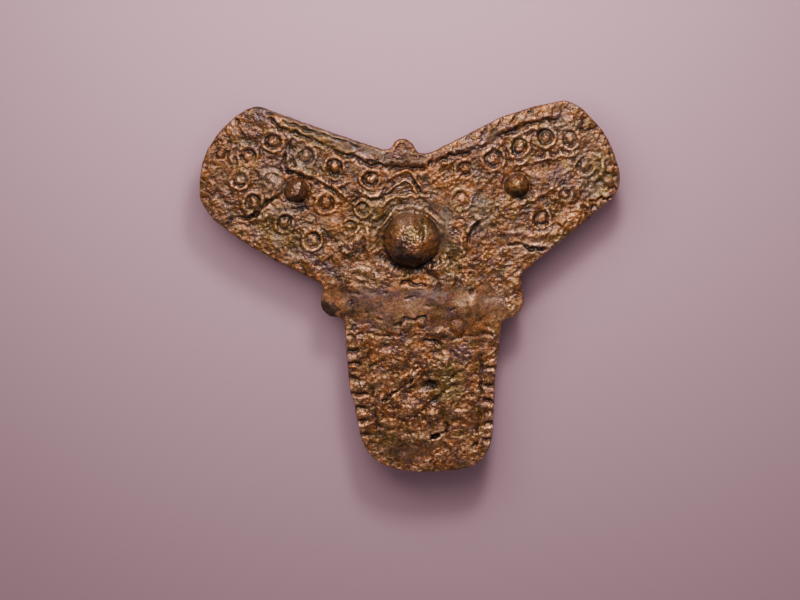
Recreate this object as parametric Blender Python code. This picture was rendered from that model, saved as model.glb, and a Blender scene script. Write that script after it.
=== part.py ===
"""A trefoil brooch of cast copper alloy.

One thick plate makes three lobes round a domed medallion, with a knob in each notch between them. Its face has
sunken fields with raised rings, dots, bosses and ridges, and notched borders. Its back is plain, with the lugs and
the catch of a pin, and a loop.

The brooch lies face up on the fittings of its back. The origin is on the ground under the middle of its box, +Z
points out of the face, and +Y towards the knob between the two upper lobes. Lengths are in metres.
"""

import math
from dataclasses import dataclass

import bmesh
import bpy
from mathutils import Matrix, Vector

MM = 0.001

# The plate
PLATE_THICKNESS = 2.0 * MM
EDGE_ROUNDING = 0.55 * MM
BACK_CHAMFER = 0.25 * MM
STRAIGHTEST_TURN = math.radians(11)  # a span of an outline gets one more point for each such turn
FIELD_DEPTH = 0.35 * MM  # of the sunken fields under the borders
FIELD_TOP_REACH = 11.0 * MM  # from the medallion's axis to where the two upper fields meet

# The lobes: from the medallion's axis to the end, across, and the border round the sunken field
LEFT_LENGTH = 34.3 * MM
LEFT_WIDTH = 24.0 * MM
LEFT_BORDER = 2.3 * MM
LOWER_LENGTH = 36.6 * MM
LOWER_WIDTH = 25.0 * MM
LOWER_BORDER = 3.0 * MM
RIGHT_LENGTH = 33.6 * MM
RIGHT_WIDTH = 22.0 * MM
RIGHT_BORDER = 2.8 * MM

# The knobs between the lobes: from the medallion's axis to the middle, and their own radius
LEFT_KNOB_REACH = 15.1 * MM
LEFT_KNOB_RADIUS = 2.6 * MM
RIGHT_KNOB_REACH = 16.9 * MM
RIGHT_KNOB_RADIUS = 3.2 * MM
TOP_KNOB_REACH = 13.7 * MM
TOP_KNOB_RADIUS = 1.9 * MM

# The medallion in the middle
DOME_RADIUS = 3.9 * MM
DOME_HEIGHT = 3.9 * MM
COLLAR_WIDTH = 0.9 * MM
COLLAR_HEIGHT = 0.5 * MM
MEDALLION_RADIUS = 6.8 * MM  # to the crest of its ring
MEDALLION_GAP = 1.4 * MM  # from that crest to the edge of the field below it
ARCH_GAP = 2.2 * MM  # from that crest to the top of the pointed arch over it
ARCH_SPAN = 3.4 * MM

# The carving of the face
RELIEF_HEIGHT = 0.45 * MM  # of rings and ridges over the fields
RING_RADIUS = 1.75 * MM
SMALL_RING_RADIUS = 1.4 * MM
DOT_SHARE = 0.36  # of its ring's radius
RING_WIDTH_SHARE = 0.4  # of its radius
GROOVE_RISE = 0.05 * MM  # of the floor inside a ring over the field
RIDGE_WIDTH = 0.7 * MM
BOSS_RADIUS = 1.8 * MM
BOSS_HEIGHT = 1.7 * MM
PELLET_RADIUS = 0.75 * MM
PELLET_HEIGHT = 0.6 * MM
NOTCH_WIDTH = 0.9 * MM
NOTCH_DEPTH = 0.55 * MM
PIT_DEPTH = 0.8 * MM
ROOTED = 0.3 * MM  # how deep a raised form stands in the metal below it

# The fittings of the back
FITTING_HEIGHT = 6.0 * MM
FITTING_LENGTH = 5.0 * MM
FITTING_CHAMFER = 0.5 * MM
LUG_THICKNESS = 1.4 * MM
LUG_GAP = 3.2 * MM
AXLE_DIAMETER = 1.6 * MM
CATCH_THICKNESS = 1.3 * MM
CATCH_MOUTH = 2.2 * MM
LOOP_THICKNESS = 1.8 * MM
LOOP_HOLE = 2.6 * MM
PIN_LINE = 7.6 * MM  # from the medallion's axis to the line of the pin, towards the upper knob
LUG_SHARE = 0.56  # of the left lobe's length
CATCH_SHARE = 0.56  # of the right lobe's length
LOOP_SHARE = 0.74  # of the lower lobe's length

BACK_Z = FITTING_HEIGHT
RIM_Z = BACK_Z + PLATE_THICKNESS
FIELD_Z = RIM_Z - FIELD_DEPTH


@dataclass(frozen=True)
class Lobe:
    """A lobe of the plate. Places on it are shares: (along its length, across its width)."""

    name: str
    angle: float  # of its axis from +X, in degrees
    length: float  # from the medallion's axis to its end
    width: float
    border: float  # width of the border round its field
    middle: tuple  # the place that the border shrinks its edge towards
    field_start: float  # where its field starts along it
    edge: tuple  # anticlockwise, from one notch round its end to the next

    def place(self, along, across):
        """The point of the plate at these shares."""
        turn = Matrix.Rotation(math.radians(self.angle), 2)
        return turn @ Vector((along * self.length, across * self.width))

    def outline(self):
        return [self.place(*share) for share in self.edge]

    def field(self):
        """The edge of its sunken field: its own edge, drawn in by the border."""
        mid_along, mid_across = self.middle
        keep_along = 1 - self.border / (self.length * (1 - mid_along))
        keep_across = 1 - 2 * self.border / self.width
        return [
            self.place(mid_along + (along - mid_along) * keep_along, mid_across + (across - mid_across) * keep_across)
            for along, across in self.edge
            if along > self.field_start
        ]


@dataclass(frozen=True)
class Knob:
    """A knob in the notch after a lobe: part of a circle."""

    angle: float  # of its middle round the medallion, in degrees
    reach: float  # from the medallion's axis to its middle
    radius: float
    spread: float  # how far round its middle it shows to each side, in degrees

    def outline(self):
        middle = polar(self.reach, self.angle)
        return [middle + polar(self.radius, self.angle + self.spread * k / 2) for k in (-2, -1, 0, 1, 2)]


def polar(radius, degrees):
    turn = math.radians(degrees)
    return Vector((radius * math.cos(turn), radius * math.sin(turn)))


LEFT = Lobe(
    "left", 156, LEFT_LENGTH, LEFT_WIDTH, LEFT_BORDER, (0.55, 0.0), 0.3,
    ((0.29, -0.45), (0.54, -0.415), (0.73, -0.395), (0.86, -0.38), (0.91, -0.33), (0.96, -0.21), (0.99, -0.09),
     (1.0, 0.1), (0.95, 0.31), (0.91, 0.36), (0.85, 0.41), (0.71, 0.46), (0.53, 0.49), (0.33, 0.5), (0.28, 0.52)),
)
LOWER = Lobe(
    "lower", 272, LOWER_LENGTH, LOWER_WIDTH, LOWER_BORDER, (0.55, 0.06), 0.33,
    ((0.34, -0.44), (0.5, -0.43), (0.64, -0.42), (0.68, -0.4), (0.82, -0.37), (0.91, -0.32), (0.97, -0.21),
     (1.0, -0.02), (1.0, 0.14), (0.985, 0.31), (0.94, 0.41), (0.82, 0.47), (0.61, 0.49), (0.38, 0.54)),
)
RIGHT = Lobe(
    "right", 30, RIGHT_LENGTH, RIGHT_WIDTH, RIGHT_BORDER, (0.55, 0.0), 0.38,
    ((0.35, -0.61), (0.4, -0.58), (0.87, -0.45), (0.94, -0.39), (0.98, -0.27), (1.0, -0.07), (0.99, 0.06),
     (0.965, 0.21), (0.92, 0.31), (0.88, 0.335), (0.78, 0.385), (0.63, 0.435), (0.3, 0.46), (0.23, 0.5)),
)
LEFT_KNOB = Knob(220, LEFT_KNOB_REACH, LEFT_KNOB_RADIUS, 60)
RIGHT_KNOB = Knob(327, RIGHT_KNOB_REACH, RIGHT_KNOB_RADIUS, 50)
TOP_KNOB = Knob(96, TOP_KNOB_REACH, TOP_KNOB_RADIUS, 70)
FIELD_TOP = polar(FIELD_TOP_REACH, 92)

# The rings with a dot in them, in shares of their lobe
RINGS = {
    LEFT: ((0.745, -0.215), (0.82, -0.06), (0.81, 0.1), (0.73, 0.2), (0.685, 0.02), (0.59, -0.22), (0.445, -0.225),
           (0.275, -0.245), (0.55, 0.24), (0.405, 0.26), (0.415, 0.01)),
    RIGHT: ((0.37, 0.245), (0.505, 0.2), (0.635, 0.195), (0.76, 0.155), (0.85, 0.075), (0.85, -0.15), (0.71, -0.25),
            (0.56, -0.305)),
}
NEAR_RINGS = (  # beside the medallion: angle round it, radius, and gap to the medallion's ring
    (147.5, SMALL_RING_RADIUS, 0.2 * MM),
    (167.5, SMALL_RING_RADIUS, 0.95 * MM),
    (38.5, RING_RADIUS, 0.5 * MM),
)
BOSSES = {LEFT: (0.555, 0.02), RIGHT: (0.54, -0.03)}
PELLETS = {LEFT: (0.93, 0.0), LOWER: (0.77, 0.1)}
PITS = {LOWER: ((0.605, 0.075), (0.85, 0.11))}
RIDGES = {
    LEFT: (((0.67, -0.29), (0.655, -0.075), (0.62, -0.085), (0.36, -0.09)),),
    RIGHT: (((0.59, 0.1), (0.77, 0.015), (0.84, -0.05)), ((0.47, -0.11), (0.6, -0.12), (0.74, -0.15))),
}
ARCH_TOP = polar(MEDALLION_RADIUS + ARCH_GAP, 94)

NOTCHES_A_SIDE = 7
NOTCH_PITCH = 2.2 * MM
END_NOTCHES = 6
LEFT_NOTCH_START = 0.44  # share of the lower lobe's length where the notches of each border start
RIGHT_NOTCH_START = 0.49

RING_SIDES = 14
DOT_SIDES = 8
DOME_SIDES = 28
BOSS_SIDES = 16


def smooth_loop(points):
    """A smooth closed curve through the points, with more of its own where it turns more."""
    loop = []
    count = len(points)
    for i in range(count):
        before, start, end, after = (points[(i + k) % count] for k in (-1, 0, 1, 2))
        leave = (end - before).normalized() * (end - start).length
        arrive = (after - start).normalized() * (end - start).length
        steps = 1 + int(leave.angle(arrive, 0) / STRAIGHTEST_TURN)
        for step in range(steps):
            t = step / steps
            loop.append(
                start * (2 * t**3 - 3 * t**2 + 1)
                + leave * (t**3 - 2 * t**2 + t)
                + end * (3 * t**2 - 2 * t**3)
                + arrive * (t**3 - t**2)
            )
    return loop


def plate_outline():
    """The edge of the plate, anticlockwise, round the medallion's axis."""
    points = []
    for lobe, knob in ((LEFT, LEFT_KNOB), (LOWER, RIGHT_KNOB), (RIGHT, TOP_KNOB)):
        points += lobe.outline() + knob.outline()
    return smooth_loop(points)


def upper_field():
    """The field that the two upper lobes share, round the medallion."""
    under = MEDALLION_RADIUS + MEDALLION_GAP
    below = [polar(under, degrees) for degrees in (225, 250, 290, 315)]
    return smooth_loop(LEFT.field() + below + RIGHT.field() + [FIELD_TOP])


def box_middle(points):
    xs = [point.x for point in points]
    ys = [point.y for point in points]
    return Vector(((min(xs) + max(xs)) / 2, (min(ys) + max(ys)) / 2))


AXIS = -box_middle(plate_outline())  # where the medallion's axis stands, seen from the origin


def extrude_loop(mesh, loop, low, high):
    """Adds a closed slab with this outline between two heights, and returns its faces."""
    corners = [mesh.verts.new((*(AXIS + point), low)) for point in loop]
    base = mesh.faces.new(corners)
    lifted = bmesh.ops.extrude_face_region(mesh, geom=[base])["geom"]
    top = [item for item in lifted if isinstance(item, bmesh.types.BMVert)]
    bmesh.ops.translate(mesh, verts=top, vec=(0, 0, high - low))
    bmesh.ops.recalc_face_normals(mesh, faces=mesh.faces)
    return mesh


def spin_profile(mesh, profile, middle, sides):
    """Turns an open or ringed profile of (radius, height) pairs round an upright axis."""
    centre = AXIS + middle
    rings = []
    for radius, height in profile:
        if radius == 0:
            rings.append([mesh.verts.new((*centre, height))])
            continue
        rings.append([mesh.verts.new((*(centre + polar(radius, 360 * k / sides)), height)) for k in range(sides)])
    for lower, upper in zip(rings, rings[1:]):
        for k in range(sides):
            corners = [lower[k % len(lower)], lower[(k + 1) % len(lower)]]
            corners += [upper[(k + 1) % len(upper)], upper[k % len(upper)]]
            mesh.faces.new(dict.fromkeys(corners))
    return rings


def add_turned(mesh, profile, middle, sides):
    """A solid of revolution, from its foot up to its top on the axis."""
    rings = spin_profile(mesh, profile, middle, sides)
    mesh.faces.new(reversed(rings[0]))


def ring_profile(outer, width, top, groove):
    """A ring with sloping sides, from its outer foot up and in to the groove inside it."""
    slope = width * 0.33
    return [
        (outer, FIELD_Z - ROOTED), (outer - slope, top), (outer - width + slope, top), (outer - width, groove),
    ]


def add_ridge(mesh, line, width, foot, top):
    """A ridge with sloping sides along a line of points."""
    sections = []
    for k, point in enumerate(line):
        ahead = line[min(k + 1, len(line) - 1)] - line[max(k - 1, 0)]
        side = Vector((-ahead.y, ahead.x)).normalized() * width / 2
        offsets = ((side, foot), (side * 0.4, top), (-side * 0.4, top), (-side, foot))
        sections.append([mesh.verts.new((*(AXIS + point + offset), height)) for offset, height in offsets])
    for here, there in zip(sections, sections[1:]):
        for k in range(4):
            mesh.faces.new((here[k], here[(k + 1) % 4], there[(k + 1) % 4], there[k]))
    mesh.faces.new(reversed(sections[0]))
    mesh.faces.new(sections[-1])


def add_box(mesh, middle, size, low):
    """A box that stands on the height low, with its upright and lower edges chamfered."""
    at = Matrix.Translation((*(AXIS + middle), low + size[2] / 2)) @ Matrix.Diagonal((*size, 1))
    corners = bmesh.ops.create_cube(mesh, size=1, matrix=at)["verts"]
    top = low + size[2]
    edges = {edge for corner in corners for edge in corner.link_edges}
    cut = [edge for edge in edges if min(vert.co.z for vert in edge.verts) < top - MM / 100]
    bmesh.ops.bevel(mesh, geom=cut, offset=min(FITTING_CHAMFER, min(size) / 3), segments=1, affect="EDGES")


def finished(mesh, name, material=None):
    """Makes the mesh an object. Without a material it is a tool of the brooch, which isn't part of it."""
    bmesh.ops.recalc_face_normals(mesh, faces=mesh.faces)
    data = bpy.data.meshes.new(name)
    mesh.to_mesh(data)
    mesh.free()
    thing = bpy.data.objects.new(name, data)
    bpy.context.scene.collection.objects.link(thing)
    if material:
        data.materials.append(material)
    else:
        thing.hide_render = True
        thing.display_type = "WIRE"
    return thing


def bronze():
    """Cast copper alloy with a brown and golden patina."""
    material = bpy.data.materials.new("patinated bronze")
    material.use_nodes = True
    shader = material.node_tree.nodes["Principled BSDF"]
    shader.inputs["Base Color"].default_value = (0.24, 0.13, 0.05, 1)
    shader.inputs["Metallic"].default_value = 0.8
    shader.inputs["Roughness"].default_value = 0.45
    return material


def plate():
    """The plate, with its upper edge rounded and its back edge chamfered."""
    mesh = bmesh.new()
    extrude_loop(mesh, plate_outline(), BACK_Z, RIM_Z)
    for height, offset, segments in ((RIM_Z, EDGE_ROUNDING, 2), (BACK_Z, BACK_CHAMFER, 1)):
        edges = [edge for edge in mesh.edges if all(abs(vert.co.z - height) < MM / 100 for vert in edge.verts)]
        bmesh.ops.bevel(mesh, geom=edges, offset=offset, segments=segments, profile=0.5, affect="EDGES")
    return finished(mesh, "brooch", bronze())


def fields():
    """The space of the two sunken fields."""
    mesh = bmesh.new()
    for loop in (upper_field(), smooth_loop(LOWER.field())):
        extrude_loop(mesh, loop, FIELD_Z, RIM_Z + PLATE_THICKNESS)
    return finished(mesh, "fields")


def add_notch(mesh, start, end):
    """The space of a V-shaped notch across a border."""
    side = Vector((start.y - end.y, end.x - start.x)).normalized() * NOTCH_WIDTH
    sections = []
    for point in (start, end):
        corners = ((side * 0, RIM_Z - NOTCH_DEPTH), (side, RIM_Z + NOTCH_DEPTH), (-side, RIM_Z + NOTCH_DEPTH))
        sections.append([mesh.verts.new((*(AXIS + point + offset), height)) for offset, height in corners])
    here, there = sections
    for k in range(3):
        mesh.faces.new((here[k], here[(k + 1) % 3], there[(k + 1) % 3], there[k]))
    mesh.faces.new(reversed(here))
    mesh.faces.new(there)


def notches():
    """The notches across both borders of the lower lobe and the ends of the upper ones."""
    mesh = bmesh.new()
    for start, outer, inner in ((LEFT_NOTCH_START, -0.6, -0.35), (RIGHT_NOTCH_START, 0.7, 0.4)):
        for k in range(NOTCHES_A_SIDE):
            along = start + k * NOTCH_PITCH / LOWER.length
            add_notch(mesh, LOWER.place(along, outer), LOWER.place(along, inner))
    for lobe in (LEFT, RIGHT):
        for k in range(END_NOTCHES):
            across = (k - END_NOTCHES / 2) * NOTCH_PITCH / lobe.width
            add_notch(mesh, lobe.place(1.06, across), lobe.place(0.95, across * 0.9))
    return finished(mesh, "notches")


def pits():
    """The two pits of the lower field, where its boss has gone."""
    mesh = bmesh.new()
    for lobe, places in PITS.items():
        for share in places:
            profile = ((PELLET_RADIUS * 0.4, FIELD_Z - PIT_DEPTH), (PELLET_RADIUS * 1.2, RIM_Z), (0, RIM_Z + MM))
            add_turned(mesh, profile, lobe.place(*share), DOT_SIDES)
    return finished(mesh, "pits")


def dome_profile(radius, base, top, steps):
    """A dome whose round side rises from the height base to its top on the axis."""
    turns = [k * math.pi / 2 / steps for k in range(steps)]
    return [(radius * math.cos(turn), base + (top - base) * math.sin(turn)) for turn in turns] + [(0, top)]


def medallion():
    """The dome with its collar, and the ring round it."""
    mesh = bmesh.new()
    collar = DOME_RADIUS + COLLAR_WIDTH
    step = FIELD_Z + COLLAR_HEIGHT
    groove = FIELD_Z + GROOVE_RISE
    profile = ring_profile(MEDALLION_RADIUS + RIDGE_WIDTH / 2, RIDGE_WIDTH, FIELD_Z + RELIEF_HEIGHT, groove)
    profile += [(collar, groove), (collar - COLLAR_HEIGHT / 2, step)]
    profile += dome_profile(DOME_RADIUS, step, FIELD_Z + DOME_HEIGHT, 6)
    add_turned(mesh, profile, Vector((0, 0)), DOME_SIDES)
    return finished(mesh, "medallion")


def bosses():
    """The bosses of the upper lobes and the small pellets."""
    mesh = bmesh.new()
    for lobe, share in BOSSES.items():
        profile = dome_profile(BOSS_RADIUS, FIELD_Z - ROOTED, FIELD_Z + BOSS_HEIGHT, 4)
        add_turned(mesh, profile, lobe.place(*share), BOSS_SIDES)
    for lobe, share in PELLETS.items():
        profile = dome_profile(PELLET_RADIUS, FIELD_Z - ROOTED, RIM_Z + PELLET_HEIGHT, 3)
        add_turned(mesh, profile, lobe.place(*share), DOT_SIDES)
    return finished(mesh, "bosses")


def rings():
    """The raised rings, each with a dot in its middle."""
    mesh = bmesh.new()
    top = FIELD_Z + RELIEF_HEIGHT
    groove = FIELD_Z + GROOVE_RISE
    places = [(RING_RADIUS, lobe.place(*share)) for lobe, shares in RINGS.items() for share in shares]
    for degrees, radius, gap in NEAR_RINGS:
        places.append((radius, polar(MEDALLION_RADIUS + RIDGE_WIDTH / 2 + gap + radius, degrees)))
    for radius, middle in places:
        profile = ring_profile(radius, radius * RING_WIDTH_SHARE, top, groove)
        profile += dome_profile(radius * DOT_SHARE, groove, top, 2)
        add_turned(mesh, profile, middle, RING_SIDES)
    return finished(mesh, "rings")


def ridges():
    """The ridges that part the fields, and the pointed arch over the medallion."""
    mesh = bmesh.new()
    foot = FIELD_Z - ROOTED
    top = FIELD_Z + RELIEF_HEIGHT
    for lobe, lines in RIDGES.items():
        for line in lines:
            add_ridge(mesh, [lobe.place(*share) for share in line], RIDGE_WIDTH, foot, top)
    drop = Vector((0, ARCH_SPAN / 2))
    side = Vector((ARCH_SPAN / 2, 0))
    add_ridge(mesh, [ARCH_TOP - side - drop, ARCH_TOP, ARCH_TOP + side - drop], RIDGE_WIDTH, foot, top)
    return finished(mesh, "ridges")


def fittings():
    """The lugs that held the pin, its catch, and the loop, all as tall as each other."""
    mesh = bmesh.new()
    height = FITTING_HEIGHT + ROOTED
    lugs = Vector((LEFT.place(LUG_SHARE, 0).x, PIN_LINE))
    apart = Vector((0, (LUG_GAP + LUG_THICKNESS) / 2))
    for side in (-1, 1):
        add_box(mesh, lugs + side * apart, (FITTING_LENGTH, LUG_THICKNESS, height), 0)
    loop = LOWER.place(LOOP_SHARE, 0)
    add_box(mesh, loop, (LOOP_THICKNESS, FITTING_LENGTH, height), 0)
    return finished(mesh, "fittings")


def catch():
    """The catch: a wall whose foot turns up again round the tip of the pin."""
    mesh = bmesh.new()
    x = RIGHT.place(CATCH_SHARE, 0).x + AXIS.x
    wall = PIN_LINE + AXIS.y - CATCH_MOUTH / 2
    lip = wall + CATCH_MOUTH
    cut = CATCH_THICKNESS / 3
    profile = (
        (wall, BACK_Z + ROOTED), (wall - CATCH_THICKNESS, BACK_Z + ROOTED), (wall - CATCH_THICKNESS, cut),
        (wall - CATCH_THICKNESS + cut, 0), (lip + CATCH_THICKNESS - cut, 0), (lip + CATCH_THICKNESS, cut),
        (lip + CATCH_THICKNESS, FITTING_HEIGHT / 2), (lip + cut, FITTING_HEIGHT / 2), (lip, FITTING_HEIGHT / 2 - cut),
        (lip, CATCH_THICKNESS + cut), (lip - cut, CATCH_THICKNESS), (wall + cut, CATCH_THICKNESS),
        (wall, CATCH_THICKNESS + cut),
    )
    side = mesh.faces.new([mesh.verts.new((x - FITTING_LENGTH / 2, y, z)) for y, z in profile])
    moved = bmesh.ops.extrude_face_region(mesh, geom=[side])["geom"]
    far = [item for item in moved if isinstance(item, bmesh.types.BMVert)]
    bmesh.ops.translate(mesh, verts=far, vec=(FITTING_LENGTH, 0, 0))
    return finished(mesh, "catch")


def holes():
    """The space of the axle through both lugs and of the hole in the loop."""
    mesh = bmesh.new()
    lugs = AXIS + Vector((LEFT.place(LUG_SHARE, 0).x, PIN_LINE))
    loop = AXIS + LOWER.place(LOOP_SHARE, 0)
    for centre, diameter, length, axis in (
        (lugs, AXLE_DIAMETER, LUG_GAP + 4 * LUG_THICKNESS, "X"),
        (loop, LOOP_HOLE, 3 * LOOP_THICKNESS, "Y"),
    ):
        at = Matrix.Translation((*centre, FITTING_HEIGHT / 2)) @ Matrix.Rotation(math.pi / 2, 4, axis)
        bmesh.ops.create_cone(
            mesh, cap_ends=True, segments=BOSS_SIDES, radius1=diameter / 2, radius2=diameter / 2, depth=length,
            matrix=at,
        )
    return finished(mesh, "holes")


def shape(body, tool, operation):
    """Cuts the tool out of the body or casts it on, as a Boolean that stays editable."""
    change = body.modifiers.new(tool.name, "BOOLEAN")
    change.operation = operation
    change.solver = "EXACT"
    change.use_self = True
    change.object = tool


def main():
    for thing in list(bpy.data.objects):
        bpy.data.objects.remove(thing)
    brooch = plate()
    for tool in (fields(), notches(), pits()):
        shape(brooch, tool, "DIFFERENCE")
    for tool in (medallion(), bosses(), rings(), ridges(), fittings(), catch()):
        shape(brooch, tool, "UNION")
    shape(brooch, holes(), "DIFFERENCE")
    brooch.data.shade_smooth()
    brooch.data.set_sharp_from_angle(angle=math.radians(35))


main()
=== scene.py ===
"""A trefoil brooch of cast copper alloy, with the worn and waxed face of old buried metal.

The solid of the brooch gives the outline, the thickness and the fittings of the back. Its face is carved here on a
fine mesh: rings with dots, bosses, ridges, notched borders, cracks, casting lumps and the grain of old corrosion.
The marks of the face are in millimetres, from the middle of its dome, +x to the right lobe and +y to the top knob.
"""

import logging
import math
from abc import ABC, abstractmethod
from collections import Counter
from dataclasses import dataclass, replace
from enum import Enum, IntEnum

import bpy
import numpy as np
from mathutils import Matrix, Vector, noise


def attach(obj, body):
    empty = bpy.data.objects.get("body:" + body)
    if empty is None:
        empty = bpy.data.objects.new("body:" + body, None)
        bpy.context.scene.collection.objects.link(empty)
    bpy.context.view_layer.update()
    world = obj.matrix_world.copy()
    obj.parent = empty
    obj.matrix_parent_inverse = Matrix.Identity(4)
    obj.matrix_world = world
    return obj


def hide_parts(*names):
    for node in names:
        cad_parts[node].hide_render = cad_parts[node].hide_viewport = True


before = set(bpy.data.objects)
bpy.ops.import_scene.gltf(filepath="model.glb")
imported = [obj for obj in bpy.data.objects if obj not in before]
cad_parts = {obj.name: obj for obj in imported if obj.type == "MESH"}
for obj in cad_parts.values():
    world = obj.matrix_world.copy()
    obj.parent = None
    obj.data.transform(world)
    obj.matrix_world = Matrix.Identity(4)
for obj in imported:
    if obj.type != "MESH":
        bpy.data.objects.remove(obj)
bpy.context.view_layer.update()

LOG = logging.getLogger("brooch")

Array = np.ndarray
Place = tuple[float, float]
Material = bpy.types.Material
Mesh = bpy.types.Mesh
Socket = bpy.types.NodeSocket
Thing = bpy.types.Object

MM = 0.001
NODE = "brooch"
MIDDLE = (0.52, 7.606)  # of the dome, from the middle of the brooch's box
RIM_Z = 8.0  # top of the borders
BACK_Z = 6.0  # back of the plate
SECTION_Z = 6.8  # under every mark of the face
EDGE_ROUNDING = 0.55
VOXEL = 0.35  # of the even mesh, whose face is then made twice as fine
FEET_Z = 0.6  # below this the fittings keep their flat feet
NO_LENGTH = 1e-9  # square of a length that counts as none

GRAIN_STEPS = (17.3, 7.9, 3.1)  # from the part of the endless grain that one seed reads to the next seed's
FINER = 2.1  # how many times finer each further octave is
FALLOFF = 0.8  # how quickly finer octaves fade
SHAKE = 0.12  # reach and length of the quick tremor of the maker's hand
SHAKE_SIZE = 0.5

RING_SECTION = (  # height in millimetres, then place and width as shares of the ring's radius
    (0.21, 0.86, 0.17),  # crest
    (-0.33, 0.55, 0.14),  # groove inside it
    (-0.07, 1.14, 0.1),  # moat round it
    (0.3, 0.0, 0.26),  # dot
)
DOME_BULGE = 2.2  # 2 for a ball, more for steeper sides
MOAT_PLACE = 1.13  # place and width of a boss's moat, as shares of its radius
MOAT_WIDTH = 0.14
PIT_REACH = 1.25  # to where a pit ends, in radii


def ease(share: Array) -> Array:
    """Turns a share into a soft step from 0 to 1."""
    share = np.clip(share, 0, 1)
    return share * share * (3 - 2 * share)


def bell(distance: Array, width: float) -> Array:
    """A bell curve of height 1 at the distance 0."""
    return np.exp(-((distance / width) ** 2))


class Basis(Enum):
    """The kinds of grain that old cast metal shows."""

    CLOUDS = "PERLIN_ORIGINAL"
    LUMPS = "VORONOI_F1"
    SOFT = "BLENDER"


class Seed(IntEnum):
    """Which part of the endless grain each unevenness reads."""

    LARGE_LUMPS = 3
    SMALL_LUMPS = 4
    CRUMPLES = 5
    FINE_CRUMPLES = 6
    WORN_CARVING = 7
    WEAR = 8
    CASTING_LAYERS = 9
    DRIFT_X = 11
    DRIFT_Y = 12
    SHAKE_X = 13
    SHAKE_Y = 14
    GRIT = 15
    ZONE_EDGES = 16
    SWELLINGS = 17
    FIELD_EDGES = 13
    PATINA = 30
    STRAY_PATINA = 50


def grain(points: Array, size: float, basis: Basis, seed: int, octaves: int = 1) -> Array:
    """Grain from about -1 to 1.

    Args:
        points: one row (x, y, z) in millimetres for each point.
        size: of one grain, in millimetres.
        basis: the kind of grain.
        seed: which part of the endless grain is read.
        octaves: how many finer grains are added.

    Returns:
        One value for each point.
    """
    start = Vector([seed * step for step in GRAIN_STEPS])
    places = (Vector(row) + start for row in (points / size).tolist())
    if octaves == 1:
        return np.array([noise.noise(place, noise_basis=basis.value) for place in places])
    return np.array([noise.fractal(place, FALLOFF, FINER, octaves, noise_basis=basis.value) for place in places])


def crumple(points: Array, size: float, seed: Seed) -> Array:
    """Sharp crests round shallow hollows, from about -1 to 1, as on crumpled foil."""
    return 1 - 4 * np.abs(grain(points, size, Basis.CLOUDS, seed))


@dataclass
class Face:
    """Points of the brooch, in millimetres from the middle of the dome."""

    x: Array
    y: Array
    edge: Array  # distance to the outline

    def wandering(self, points: Array, reach: float, size: float) -> "Face":
        """The same points a little out of place, so that what is drawn on them is drawn by an unsteady hand.

        Args:
            points: one row (x, y, z) in millimetres for each point.
            reach: how far the hand drifts.
            size: how long it drifts one way.

        Returns:
            The moved points.
        """
        moved = []
        for here, drift, shake in ((self.x, Seed.DRIFT_X, Seed.SHAKE_X), (self.y, Seed.DRIFT_Y, Seed.SHAKE_Y)):
            drifted = here + reach * grain(points, size, Basis.CLOUDS, drift)
            moved.append(drifted + SHAKE * grain(points, SHAKE_SIZE, Basis.CLOUDS, shake))
        return replace(self, x=moved[0], y=moved[1])

    def away(self, at: Place) -> Array:
        """Distance of each point to a place."""
        return np.hypot(self.x - at[0], self.y - at[1])

    def along(self, line: tuple) -> tuple[Array, Array]:
        """How the points lie to a line of places.

        Args:
            line: the places, from one end to the other.

        Returns:
            The distance to the line, and the share of its length at the nearest place.
        """
        best = np.full(len(self.x), np.inf)
        share = np.zeros(len(self.x))
        lengths = [math.dist(a, b) for a, b in zip(line, line[1:])]
        passed = 0.0
        for (ax, ay), (bx, by), length in zip(line, line[1:], lengths):
            dx, dy = bx - ax, by - ay
            t = np.clip(((self.x - ax) * dx + (self.y - ay) * dy) / length**2, 0, 1)
            distance = np.hypot(self.x - ax - t * dx, self.y - ay - t * dy)
            nearer = distance < best
            best[nearer] = distance[nearer]
            share[nearer] = (passed + t[nearer] * length) / sum(lengths)
            passed += length
        return best, share

    def spread(self, at: Place, radii: Place, turn: float = 0.0) -> Array:
        """Distance of each point from a place, in radii of an ellipse.

        Args:
            at: the middle of the ellipse.
            radii: its radii, along and across.
            turn: of the first radius from +x, in degrees.

        Returns:
            Below 1 inside the ellipse and 1 on its edge.
        """
        angle = math.radians(turn)
        dx, dy = self.x - at[0], self.y - at[1]
        along = dx * math.cos(angle) + dy * math.sin(angle)
        across = dy * math.cos(angle) - dx * math.sin(angle)
        return np.hypot(along / radii[0], across / radii[1])


class Mark(ABC):
    """Something that the maker or time left in the face."""

    @abstractmethod
    def lift(self, face: Face) -> Array:
        """How far it lifts each point, in millimetres."""


@dataclass(frozen=True)
class RingAndDot(Mark):
    """A raised ring round a dot."""

    at: Place
    radius: float = 1.75
    bold: float = 1.0

    def lift(self, face: Face) -> Array:
        """A crest, a groove inside it, a moat round it, and the dot."""
        reach = face.away(self.at) / self.radius
        return self.bold * sum(height * bell(reach - place, width) for height, place, width in RING_SECTION)


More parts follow.
